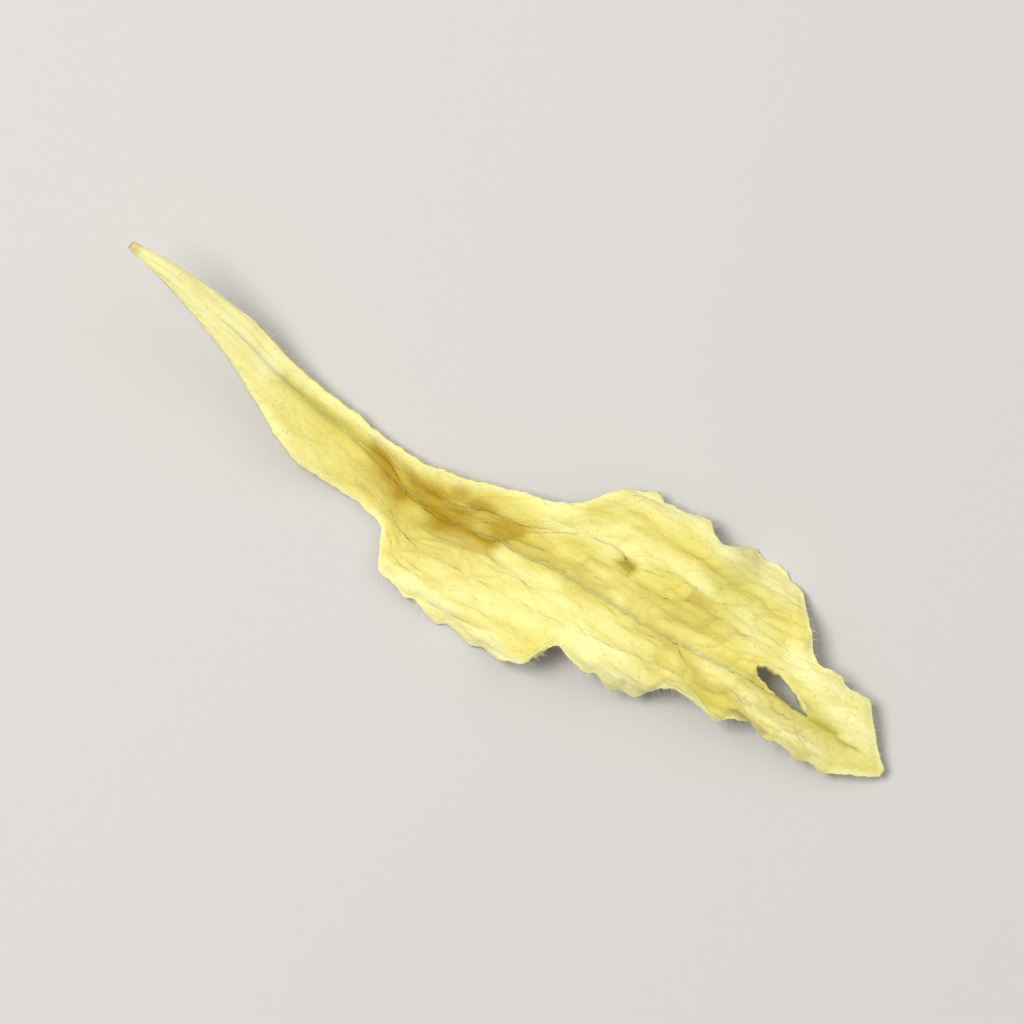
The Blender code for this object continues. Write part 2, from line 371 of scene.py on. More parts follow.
@dataclass(frozen=True)
class Tear:
    """The slit beside the midrib near the tip, which the blade split along as it dried."""

    path: Stations = ((15.4, 0.26), (16.5, 0.27), (16.9, 0.24), (17.4, 0.15), (17.9, 0.07), (18.8, 0.07))
    opening: Stations = (
        (15.4, 0.0), (16.36, 0.0), (16.5, 0.10), (16.85, 0.17), (17.25, 0.14), (17.6, 0.09), (17.92, 0.0),
        (18.8, 0.0),
    )
    start: float = 16.36
    end: float = 17.92
    gathered_from: Place = (15.4, 16.3)
    gathered_to: Place = (18.0, 18.8)
    spread: float = 0.55
    frays: tuple[Waves, ...] = (Waves(0.018, 0.11, 1.0, 21.0), Waves(0.018, 0.11, 1.0, 23.0))
    least_open: float = 0.25
    lip_turn: float = 0.07
    lip_width: float = 0.22
    full_lip: float = 0.10
    edge_width: float = 0.05
    full_edge: float = 0.04

    def half_width(self, where: Array, fray: Waves) -> Array:
        """Return how far the lip with this fray stands from the tear's middle: 0 where the blade is whole."""
        smooth, ragged = line_through(self.opening, where), fray.over(where, np.zeros_like(where))
        return np.where(smooth > 0, np.maximum(smooth + ragged, self.least_open * smooth), 0.0)


@dataclass
class SheetGrid:
    """The flat grid that the blade is shaped from, as arrays with a row for each step along the leaf."""

    form: LeafForm
    tear: Tear
    rows: int = 344
    columns: int = 140
    crowding: float = 0.3
    widest_spacing: float = 1.8
    tear_column: int = 82
    tooth_rounding: float = 0.0675
    fray: float = 0.018
    fray_lengths: Place = (0.13, 0.45)
    frayed_from: Place = (1.0, 6.0)
    drawing_step: float = 0.02
    where: Array = field(init=False)
    out: Array = field(init=False)
    side: Array = field(init=False)
    reach: Array = field(init=False)
    span: Array = field(init=False)
    inside: Array = field(init=False)

    def __post_init__(self) -> None:
        """Lay the grid out between the two margins."""
        along = self.where_of(np.linspace(0.0, 1.0, self.rows + 1)[:, None])
        across = np.linspace(-1.0, 1.0, self.columns + 1)[None, :]
        self.where = along + 0.0 * across
        is_left = across + 0.0 * along >= 0
        sway = curve_through(self.form.sway, self.where)
        left, right = (self.margin(half, along) for half in (self.form.left, self.form.right))
        self.reach = np.where(is_left, left - sway, sway - right)
        self.span = left - right
        half = self.form.of_halves("half", self.where, is_left)
        half = np.minimum(half, self.widest_spacing * self.reach)
        share = np.abs(across)
        spread = half * (share - share**2) + self.reach * share**2
        self.side = sway + np.where(is_left, spread, -spread)
        self.open_tear()
        self.out = self.side - sway
        self.inside = self.reach - np.abs(self.out)

    def where_of(self, share: Array | float) -> Array | float:
        """Say how far along the leaf a share of the rows reaches: rows lie closer towards the tip."""
        return self.form.length * ((1 + self.crowding) * share - self.crowding * share**2)

    def margin(self, half: HalfForm, along: Array) -> Array:
        """Draw one margin with rounded, slightly frayed teeth.

        Args:
            half: The half of the blade that ends there.
            along: Distances along the leaf, one a row.

        Returns:
            The margin's distance from the leaf's straight line, one a row.
        """
        size = math.ceil(2 * self.tooth_rounding / self.drawing_step)
        kernel = bell(np.arange(-size, size + 1) * self.drawing_step, self.tooth_rounding)
        kernel /= kernel.sum()
        drawn = np.arange(0.0, self.form.length + self.drawing_step / 2, self.drawing_step)
        padded = np.pad(line_through(half.margin, drawn), size, mode="reflect", reflect_type="odd")
        toothed = np.convolve(padded, kernel, mode="valid")
        level = np.zeros_like(drawn)
        for place, length in enumerate(self.fray_lengths):
            fraying = Waves(self.fray, length, 1.0, half.fray_seed + place).over(drawn, level)
            toothed += fraying * ramp(*self.frayed_from, drawn)
        return np.interp(along, drawn, toothed)

    def tear_side(self) -> Array:
        """Say on which side of the tear each column lies: 1 to its left and -1 to its right."""
        return np.sign(np.arange(self.columns + 1)[None, :] - self.tear_column - 0.5)

    def tear_gap(self) -> Array:
        """Say how far each place is from the tear's middle."""
        return np.abs(self.side - curve_through(self.tear.path, self.where))

    def tear_opening(self) -> Array:
        """Say how far the lip on a place's own side of the tear stands from the tear's middle."""
        left, right = (self.tear.half_width(self.where[:, :1], fray) for fray in self.tear.frays)
        return np.where(self.tear_side() > 0, left, right)

    def open_tear(self) -> None:
        """Move the columns beside the tear onto its two lips."""
        pair = slice(self.tear_column, self.tear_column + 2)
        now = self.side[:, pair].mean(axis=1, keepdims=True)
        along = self.where[:, :1]
        near = between(self.tear.gathered_from, self.tear.gathered_to, along)
        wanted = curve_through(self.tear.path, along)
        self.side = self.side + near * (wanted - now) * bell(self.side - now, self.tear.spread)
        lip_share = bell(self.tear_gap(), self.tear.spread)
        self.side = self.side + self.tear_side() * self.tear_opening() * lip_share

    def lips(self) -> Array:
        """Say how far each lip of the tear turns up or down."""
        opening = line_through(self.tear.opening, self.where)
        turned = self.tear.lip_turn * ramp(0.0, self.tear.full_lip, opening)
        return self.tear_side() * turned * bell(self.tear_gap(), self.tear.lip_width)

    def torn(self) -> Array:
        """Say how near each place is to a torn edge: 1 on it and 0 away from it."""
        opening = self.tear_opening()
        return bell(self.tear_gap() - opening, self.tear.edge_width) * ramp(0.0, self.tear.full_edge, opening)


@dataclass
class Tissue:
    """What the dried blade carries on top of its form: veins, net, wrinkles, marks and its own thickness."""

    form: LeafForm
    sheet: SheetGrid
    marks: tuple[Mark, ...]
    stalk_to_blade: Place = (0.35, 1.4)
    midrib_width: float = 0.08
    midrib_depth: float = 0.045
    midrib_from: Place = (0.0, 5.0)
    midrib_to: Place = (15.0, 18.5)
    nerve_width: float = 0.08
    nerve_depth: float = 0.030
    nerve_from: Place = (4.5, 7.0)
    nerve_to: Place = (14.5, 18.0)
    vein_pitch: float = 1.45
    vein_sweep: float = 1.5
    vein_curve: float = 0.10
    vein_width: float = 0.05
    vein_depth: float = 0.022
    vein_fading: float = 0.6
    vein_strength: float = 0.7
    vein_wander: Waves = Waves(0.22, 2.0, 1.0, 3.0)
    net_slant: float = 0.9
    net_slide: Waves = Waves(0.22, 0.9, 0.7, 15.0)
    net_bend: Waves = Waves(0.12, 1.1, 0.6, 17.0)
    nets: tuple[VeinNet, ...] = (
        VeinNet(0.78, 0.38, 2.0, 0.12, 1.0, 0.026, 0.5),
        VeinNet(0.26, 0.17, 5.0, 0.14, 0.5, 0.012, 0.6),
    )
    pleats: tuple[Waves, ...] = (Waves(0.036, 3.4, 0.46, 7.0), Waves(0.018, 1.8, 0.24, 8.0))
    grooves: Waves = Waves(0.007, 1.6, 0.13, 11.0)
    crinkle: Waves = Waves(0.045, 0.85, 0.85, 19.0)
    crinkled_width: float = 0.6
    margin_width: float = 0.16
    margin_drop: float = 0.012
    # Depths over which sunken places take on painted shade.
    hollow_shade_depths: Place = (-0.02, 0.05)
    buckling: Waves = Waves(0.10, 3.6, 1.6, 13.0)
    rest_spots: tuple[Place, ...] = ((7.03, -0.68), (10.02, -2.73), (15.74, 2.12))
    rest_reach: float = 1.0
    mark_wobble: Waves = Waves(0.09, 0.9, 0.5, 27.0)
    mark_fraying: Waves = Waves(0.35, 0.6, 0.25, 28.0)
    mark_blotches: Waves = Waves(0.4, 0.7, 0.3, 29.0)
    # Pale tint on the tear's lips: paler tissue with painted highlight.
    torn_pale_highlight: float = 0.7
    torn_brown: float = 0.08
    end_brown: float = 0.45
    broken_end: Place = (0.02, 0.28)
    stalk_thickness: float = 0.38
    stalk_flattest: float = 0.10
    stalk_to: Place = (2.0, 6.5)
    rib_thickness: float = 0.20
    rib_width: float = 0.15
    rib_to: Place = (13.0, 20.0)
    vein_thickness: float = 0.04
    blade_thickness: float = 0.20
    edge_thickness: float = 0.10
    edge_taper: float = 0.35
    masks: dict[str, Array] = field(init=False, default_factory=dict)
    rise: Array = field(init=False)
    in_blade: Array = field(init=False)
    thickness: Array = field(init=False)

    def __post_init__(self) -> None:
        """Work out the relief, the thickness and the masks at each point of the sheet."""
        self.rise = np.zeros_like(self.sheet.where)
        halves = sum(curve_through(half.half, self.sheet.where) for half in (self.form.left, self.form.right))
        self.in_blade = ramp(*self.stalk_to_blade, 0.5 * halves)
        self.draw_veins()
        self.draw_net()
        self.draw_pleats()
        self.set_thickness()
        # Painted shade: the sunken places are tinted darker in the material.
        self.masks["hollow"] = ramp(*self.hollow_shade_depths, -self.rise)
        self.buckle()
        self.draw_marks()

    def waves(self, waves: Waves) -> Array:
        """Return the height of some waves at each point of the sheet."""
        return waves.over(self.sheet.where, self.sheet.out)

    def draw_veins(self) -> None:
        """Sink the midrib, the two nerves and the side veins into the upper face."""
        where, out = self.sheet.where, self.sheet.out
        half = self.form.of_halves("half", where, out >= 0)
        share = np.minimum(np.abs(out) / half, 1.0)
        midrib = bell(out, self.midrib_width) * between(self.midrib_from, self.midrib_to, where)
        nerve = bell(np.abs(out) - self.form.nerve_place * half, self.nerve_width)
        nerve *= between(self.nerve_from, self.nerve_to, where)
        turn = where - self.vein_sweep * np.abs(out) - self.vein_curve * out**2 + self.waves(self.vein_wander)
        turn /= self.vein_pitch
        gap = (turn - np.round(turn)) * self.vein_pitch / math.hypot(1.0, self.vein_sweep)
        side_vein = bell(gap, self.vein_width) * (1 - self.vein_fading * share) * self.in_blade
        self.rise -= self.midrib_depth * midrib
        self.rise -= self.nerve_depth * nerve * self.in_blade
        self.rise -= self.vein_depth * side_vein
        self.masks["vein"] = np.maximum.reduce((midrib, nerve, self.vein_strength * side_vein))

    def draw_net(self) -> None:
        """Raise the tissue between the threads of the net, in large cells and in small ones."""
        slanted = self.sheet.where - self.net_slant * np.abs(self.sheet.out) + self.waves(self.net_slide)
        bent = self.sheet.out + self.waves(self.net_bend)
        threads = np.zeros_like(slanted)
        for net in self.nets:
            gap = net.gap(slanted, bent)
            self.rise += self.in_blade * net.swelling * (ramp(0.0, net.shoulder, gap) - 0.5)
            threads = np.maximum(threads, net.strength * bell(gap, net.thread))
        # The threads are tinted darker in the material: partly the veins' own colour, partly painted shade in
        # their furrows.
        self.masks["net"] = self.in_blade * threads

    def draw_pleats(self) -> None:
        """Draw the tissue together in long soft pleats, and crinkle it near the margin."""
        for pleat in self.pleats:
            self.rise += self.in_blade * self.waves(pleat)
        self.rise += self.waves(self.grooves)
        near_margin = bell(self.sheet.inside, self.margin_width)
        self.rise += self.in_blade * self.waves(self.crinkle) * bell(self.sheet.inside, self.crinkled_width)
        self.rise -= self.margin_drop * near_margin * self.in_blade
        # The band along the margin also places hairs; in the material it is painted lighter: painted
        # highlight.
        self.masks["margin"] = near_margin

    def set_thickness(self) -> None:
        """Make the stalk round, the margins thin and the veins thicker, with the midrib under the blade."""
        where, out = self.sheet.where, self.sheet.out
        stalk = 1 - ramp(*self.stalk_to, where)
        rib = self.rib_thickness * bell(out, self.rib_width) * (1 - ramp(*self.rib_to, where))
        self.rise -= 0.5 * (1 - stalk) * rib
        tissue = self.blade_thickness + rib + self.vein_thickness * self.masks["vein"]
        full = ramp(0.0, self.edge_taper, self.sheet.inside)
        blade = self.edge_thickness + (tissue - self.edge_thickness) * full
        width = np.minimum(self.sheet.span, self.stalk_thickness)
        round_stalk = width * np.sqrt(np.clip(1 - (out / self.sheet.reach) ** 2, self.stalk_flattest, 1.0))
        self.thickness = stalk * round_stalk + (1 - stalk) * blade

    def buckle(self) -> None:
        """Buckle the blade a little, away from the three spots that it rests on."""
        away = np.ones_like(self.sheet.where)
        for x, y in self.rest_spots:
            away *= 1 - bell(np.hypot(self.sheet.where - x, self.sheet.side - y), self.rest_reach)
        self.rise += away * self.in_blade * self.waves(self.buckling)

    def draw_marks(self) -> None:
        """Press the marks into the blade and keep their tints, with those of the torn and broken edges. The
        tints paint shade into creases and hollow places and highlight onto ridges, besides the tissue's own
        stains.
        """
        where = self.sheet.where + self.waves(self.mark_fraying)
        side = self.sheet.side + self.waves(self.mark_wobble)
        blotches = 1 + self.waves(self.mark_blotches)
        tints = {tint: np.zeros_like(where) for tint in Tint}
        for mark in self.marks:
            shade = mark.shade(where, side)
            self.rise -= mark.depth * shade
            shade = np.minimum(shade * blotches, 1.0)
            tints[mark.tint] = np.maximum(tints[mark.tint], mark.strength * shade)
        self.rise += self.sheet.lips()
        torn = self.sheet.torn()
        broken = self.end_brown * (1 - ramp(*self.broken_end, self.sheet.where))
        for tint, shade in ((PALE_AND_HIGHLIGHT, self.torn_pale_highlight * torn), (BROWN, self.torn_brown * torn), (BROWN, broken)):
            tints[tint] = np.maximum(tints[tint], shade)
        self.masks.update({tint.value: values for tint, values in tints.items()})


def fill(node: Node, inputs: Inputs) -> Node:
    """Link or set some of a node's inputs.

    Args:
        node: The node.
        inputs: The socket or the value for each input, by the input's name or place.

    Returns:
        The same node.
    """
    for name, value in inputs.items():
        if isinstance(value, Socket):
            node.id_data.links.new(value, node.inputs[name])
        else:
            node.inputs[name].default_value = value
    return node


def add(tree: Tree, kind: str, inputs: Inputs, **settings: str | Tree) -> Node:
    """Add a node.

    Args:
        tree: The nodes that it joins.
        kind: Its kind, without Blender's ShaderNode in front.
        inputs: The socket or the value for each input.
        settings: Its other settings.

    Returns:
        The node.
    """
    node = tree.nodes.new("ShaderNode" + kind)
    for name, value in settings.items():
        setattr(node, name, value)
    return fill(node, inputs)


def mask(tree: Tree, name: str) -> Socket:
    """Return the socket that gives one of the mesh's masks."""
    return add(tree, "Attribute", {}, attribute_name=name).outputs["Fac"]


def scaled(tree: Tree, value: Socket, share: float) -> Socket:
    """Return the socket that gives a value times a share."""
    return add(tree, "Math", {0: value, 1: share}, operation="MULTIPLY").outputs[0]


def mix(tree: Tree, share: Socket, under: Socket | Colour, over: Colour) -> Socket:
    """Return the socket that gives one colour laid over another, as far as the share says."""
    return add(tree, "Mix", {0: share, 6: under, 7: over}, data_type="RGBA").outputs[2]


def new_material(name: str) -> tuple[bpy.types.Material, Node]:
    """Add a material.

    Args:
        name: Its name.

    Returns:
        The material and its shader.
    """
    made = bpy.data.materials.new(name)
    made.use_nodes = True
    return made, made.node_tree.nodes["Principled BSDF"]


@dataclass(frozen=True)
class Pattern:
    """A pattern of dried tissue: its texture and fineness, and the texture's levels that become 0 and 1."""

    name: str
    texture: str
    along: float
    across: float
    low: float
    high: float
    detail: float


PATTERNS = (
    Pattern("Patches", "TexNoise", 7.0, 14.0, 0.32, 0.72, 3.0),
    Pattern("Streaks", "TexNoise", 7.0, 60.0, 0.48, 0.72, 4.0),
    Pattern("Fibres", "TexNoise", 24.0, 330.0, 0.45, 0.75, 3.0),
    Pattern("Grain", "TexNoise", 420.0, 520.0, 0.25, 0.75, 2.0),
    Pattern("Glands", "TexVoronoi", 110.0, 110.0, 0.16, 0.08, 0.0),
)


def mottle_group() -> Tree:
    """Build the group that mottles dried tissue with the patterns.

    Returns:
        The group, whose input is a place on the blade in leaf lengths.
    """
    group = bpy.data.node_groups.new("dried_tissue_mottle", "ShaderNodeTree")
    group.interface.new_socket("Place", in_out="INPUT", socket_type="NodeSocketVector")
    for pattern in PATTERNS:
        group.interface.new_socket(pattern.name, in_out="OUTPUT", socket_type="NodeSocketFloat")
    place = group.nodes.new("NodeGroupInput").outputs["Place"]
    leave = group.nodes.new("NodeGroupOutput")
    for pattern in PATTERNS:
        fineness = (pattern.along, pattern.across, 1.0)
        stretched = add(group, "Mapping", {"Vector": place, "Scale": fineness}).outputs[0]
        drawing = {"Vector": stretched, "Scale": 1.0, "Detail": pattern.detail}
        drawn = add(group, pattern.texture, drawing).outputs[0]
        levels = {"Value": drawn, "From Min": pattern.low, "From Max": pattern.high}
        fill(leave, {pattern.name: add(group, "MapRange", levels).outputs[0]})
    return group


@dataclass(frozen=True)
class TissueFinish:
    """The colours and surface of one face of the dried blade, and how strongly its patterns show. Some of the
    colours paint shade and highlight.
    """

    name: str
    pale: Colour
    ripe: Colour
    # Colour of painted shade in hollow places, creases and the pit, and of the net's threads.
    olive: Colour
    golden: Colour
    brown: Colour
    vein: Colour
    # Colour of the margin band and the pale marks: paler tissue with painted highlight.
    margin: Colour
    veins: float
    roughness: float
    bump: float
    streaks: float = 0.60
    fibres: float = 0.35
    # How strongly the painted shade of hollow places shows.
    hollow_shade: float = 0.30
    # How strongly the net's threads darken: partly painted shade.
    net: float = 0.22
    # How strongly the painted highlight of the margin band shows.
    margins: float = 0.80
    glands: float = 0.30
    smoother: float = 0.08
    rougher: float = 0.10
    bump_depth: float = 0.012
    gloss: float = 0.24
    sheen: float = 0.04
    sheen_roughness: float = 0.5
    glow: float = 0.30
    glow_colour: Triple = (1.0, 0.85, 0.25)
    glow_depth: float = 0.25

    def material(self, mottle: Tree) -> bpy.types.Material:
        """Build the face's material.

        Args:
            mottle: The shared group that mottles the tissue.

        Returns:
            The material.
        """
        made, shader = new_material(self.name)
        tree = made.node_tree
        place = add(tree, "UVMap", {}, uv_map=BLADE_MAP).outputs["UV"]
        drawn = add(tree, "Group", {"Place": place}, node_tree=mottle).outputs
        colour = mix(tree, drawn["Patches"], self.pale, self.ripe)
        # Painted light among these layers: the hollow layer and the dark yellow-green and golden marks paint
        # shade, and the net layer partly does; the pale marks and the margin band paint highlight over paler
        # tissue. Streaks, fibres, veins and glands are the tissue's own colour, and so is the brown layer
        # apart from the pit's painted shade.
        layers = (
            ("Streaks", self.streaks, self.ripe),
            ("Fibres", self.fibres, self.pale),
            ("hollow", self.hollow_shade, self.olive),
            ("net", self.net, self.olive),
            (PALE_AND_HIGHLIGHT.value, 1.0, self.margin),
            (CREASE_SHADE.value, 1.0, self.olive),
            ("vein", self.veins, self.vein),
            (GOLDEN_SHADE.value, 1.0, self.golden),
            ("margin", self.margins, self.margin),
            (BROWN.value, 1.0, self.brown),
            ("Glands", self.glands, self.golden),
        )
        for name, strength, over in layers:
            source = drawn[name] if name in drawn else mask(tree, name)
            colour = mix(tree, scaled(tree, source, strength), colour, over)
        height =add(tree, "Math", {0: drawn["Grain"], 1: drawn["Fibres"]}).outputs[0]
        bump = {"Height": height, "Strength": self.bump, "Distance": self.bump_depth * MM}
        limits = {"To Min": self.roughness - self.smoother, "To Max": self.roughness + self.rougher}
        fill(shader, {
            "Base Color": colour,
            "Roughness": add(tree, "MapRange", {"Value": drawn["Grain"], **limits}).outputs["Result"],
            "Normal": add(tree, "Bump", bump).outputs["Normal"],
            "Specular IOR Level": self.gloss,
            "Subsurface Weight": self.glow,
            "Subsurface Radius": self.glow_colour,
            "Subsurface Scale": self.glow_depth * MM,
            "Sheen Weight": self.sheen,
            "Sheen Roughness": self.sheen_roughness,
        })
        return made


FINISHES = {
    Face.UPPER: TissueFinish(
        name="dried_upper_face",
        pale=(0.88, 0.81, 0.28, 1.0),
        ripe=(0.75, 0.64, 0.11, 1.0),
        olive=(0.50, 0.44, 0.04, 1.0),
        golden=(0.42, 0.265, 0.0, 1.0),
        brown=(0.26, 0.13, 0.02, 1.0),
        vein=(0.86, 0.80, 0.30, 1.0),
        margin=(0.97, 0.92, 0.44, 1.0),
        veins=0.25,
        roughness=0.58,
        bump=0.8,
    ),
    Face.UNDER: TissueFinish(
        name="dried_underside",
        pale=(0.76, 0.73, 0.34, 1.0),
        ripe=(0.66, 0.62, 0.22, 1.0),
        olive=(0.48, 0.46, 0.13, 1.0),
        golden=(0.54, 0.42, 0.09, 1.0),
        brown=(0.28, 0.17, 0.05, 1.0),
        vein=(0.86, 0.82, 0.48, 1.0),
        margin=(0.84, 0.80, 0.46, 1.0),
        veins=0.75,
        roughness=0.70,
        bump=0.7,
    ),
    Face.EDGE: TissueFinish(
        name="dried_margin_edge",
        pale=(0.87, 0.80, 0.28, 1.0),
        ripe=(0.76, 0.67, 0.16, 1.0),
        olive=(0.58, 0.53, 0.10, 1.0),
        golden=(0.56, 0.42, 0.06, 1.0),
        brown=(0.28, 0.16, 0.04, 1.0),
        vein=(0.87, 0.81, 0.32, 1.0),
        margin=(0.93, 0.88, 0.40, 1.0),
        veins=0.2,
        roughness=0.68,
        bump=0.5,
    ),
}


def read_all(holders: bpy.types.bpy_prop_collection, name: str, kind: type = np.float32) -> Array:
    """Return one value of all the points, corners or faces of a mesh."""
    return np.array([getattr(holder, name) for holder in holders], kind)


@dataclass
class Blade:
    """The whole leaf: one thin sheet from stalk to tip, torn beside its midrib."""

    form: LeafForm
    sheet: SheetGrid
    tissue: Tissue
    name: str = "dried_leaf"
    settle: float = 0.20
    stalk_lift: float = 0.34
    stalk_length: float = 5.0
    fold_bottom: float = 7.0
    fold_length: float = 2.0
    fold_lift: float = 0.12
    least_lift: float = 0.15
    softness: float = 0.03
    thickest: float = 0.60
    leaf: bpy.types.Object = field(init=False)
    row: Array = field(init=False)
    column: Array = field(init=False)

    def build(self) -> None:
        """Model the leaf, with its masks and its blade map."""
        self.add_flat_grid()
        self.find_places()
        self.shape()
        self.map_blade()
        self.write_masks()
        self.thicken()
        self.rest_on_floor()
        self.leaf.data.shade_smooth()

    def add_flat_grid(self) -> None:
        """Add the flat grid, and delete its faces in the tear."""
        bpy.ops.object.select_all(action="DESELECT")
        rows, columns = self.sheet.rows, self.sheet.columns
        bpy.ops.mesh.primitive_grid_add(x_subdivisions=rows, y_subdivisions=columns, size=2)
        self.leaf = bpy.context.object
        self.leaf.name = self.leaf.data.name = self.name
        self.leaf.data.uv_layers[0].name = BLADE_MAP
        bpy.ops.object.mode_set(mode="EDIT")
        bpy.ops.mesh.select_all(action="DESELECT")
        bpy.ops.object.mode_set(mode="OBJECT")
        for face in self.leaf.data.polygons:
            face.select = self.in_tear(face.center)
        bpy.ops.object.mode_set(mode="EDIT")
        bpy.ops.mesh.select_mode(type="FACE")
        bpy.ops.mesh.delete(type="FACE")
        bpy.ops.object.mode_set(mode="OBJECT")

    def in_tear(self, middle: Vector) -> bool:
        """Say whether the face with this middle is in the tear's column, between the tear's two ends."""
        where, column = self.sheet.where_of((middle.x + 1) / 2), (middle.y + 1) / 2 * self.sheet.columns
        return 0 < column - self.sheet.tear_column < 1 and self.sheet.tear.start < where < self.sheet.tear.end

    def find_places(self) -> None:
        """Find the row and the column of each of the mesh's points in the flat grid."""
        x, y, _ = read_all(self.leaf.data.vertices, "co").T
        self.row = np.rint((x + 1) / 2 * self.sheet.rows).astype(int)
        self.column = np.rint((y + 1) / 2 * self.sheet.columns).astype(int)

    def shape(self) -> None:
        """Shape the flat grid into the leaf's middle surface, with the tissue's relief, over the floor."""
        sheet = self.sheet
        middle_x, middle_y = self.form.box_middle
        height = self.form.height(sheet.where, sheet.out) - self.settle
        height += self.stalk_lift * (1 - ramp(0.0, self.stalk_length, sheet.where))
        height += self.fold_lift * bell(sheet.where - self.fold_bottom, self.fold_length)
        points = np.stack((sheet.where - middle_x, sheet.side - middle_y, height), axis=-1)
        normals = np.cross(np.gradient(points, axis=0), np.gradient(points, axis=1))
        normals /= np.linalg.norm(normals, axis=-1, keepdims=True)
        points += normals * self.tissue.rise[..., None]
        lowest = self.least_lift * self.tissue.thickness
        above = points[..., 2] - lowest
        points[..., 2] = lowest + 0.5 * (above + np.hypot(above, self.softness))
        placed = (MM * points[self.row, self.column]).astype(np.float32)
        self.leaf.data.vertices.foreach_set("co", placed.ravel())

    def map_blade(self) -> None:
        """Lay the blade map out flat, in leaf lengths."""
        mesh, length = self.leaf.data, self.form.length
        corners = read_all(mesh.loops, "vertex_index", int)
        flat = np.stack((self.sheet.where, self.sheet.out + length / 2), axis=-1) / length
        placed = flat[self.row[corners], self.column[corners]].astype(np.float32)
        mesh.uv_layers[BLADE_MAP].uv.foreach_set("vector", placed.ravel())

    def write_masks(self) -> None:
        """Keep the tissue's masks as point attributes of the mesh."""
        for name, values in self.tissue.masks.items():
            attribute = self.leaf.data.attributes.new(name, "FLOAT", "POINT")
            attribute.data.foreach_set("value", values[self.row, self.column].astype(np.float32))

    def thicken(self) -> None:
        """Give the sheet the tissue's thickness, with a material slot of its own for each face."""
        for _ in Face:
            self.leaf.data.materials.append(None)
        group = self.leaf.vertex_groups.new(name="thickness")
        shares = self.tissue.thickness[self.row, self.column] / self.thickest
        for index, share in enumerate(shares):
            group.add([index], float(share), "REPLACE")
        solid = self.leaf.modifiers.new("thickness", "SOLIDIFY")
        solid.thickness = self.thickest * MM
        solid.offset = 0
        solid.vertex_group = group.name
        solid.material_offset = Face.UNDER.value
        solid.material_offset_rim = Face.EDGE.value
        bpy.ops.object.modifier_apply(modifier=solid.name)

    def rest_on_floor(self) -> None:
        """Press flat what would reach under the floor."""
        for vertex in self.leaf.data.vertices:
            vertex.co.z = max(vertex.co.z, 0.0)

    def dress(self) -> None:
        """Give each face of the leaf its finish, and let the leaf stand for its solid."""
        mottle = mottle_group()
        for face, finish in FINISHES.items():
            self.leaf.data.materials[face.value] = finish.material(mottle)
        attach(self.leaf, "root")
        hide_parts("leaf")


@dataclass(frozen=True)
class HairFinish:
    """The pale, slightly clear finish of the hairs."""

    name: str = "pale_hair"
    colour: Colour = (0.95, 0.91, 0.62, 1.0)
    shading: float = 0.92
    shades_per_metre: float = 900.0
    roughness: float = 0.55
    glow: float = 0.2
    glow_colour: Triple = (1.0, 1.0, 1.0)
    glow_depth: float = 0.02

    def material(self) -> bpy.types.Material:
        """Build the hairs' material.

        Returns:
            The material.
        """
        made, shader = new_material(self.name)
        tree = made.node_tree
        place = add(tree, "TexCoord", {}).outputs["Object"]
        shades = add(tree, "TexNoise", {"Vector": place, "Scale": self.shades_per_metre}).outputs["Fac"]
        darker = tuple(self.shading * channel for channel in self.colour[:3]) + (1.0,)
        fill(shader, {
            "Base Color": mix(tree, shades, self.colour, darker),
            "Roughness": self.roughness,
            "Subsurface Weight": self.glow,
            "Subsurface Radius": self.glow_colour,
            "Subsurface Scale": self.glow_depth * MM,
        })
        return made


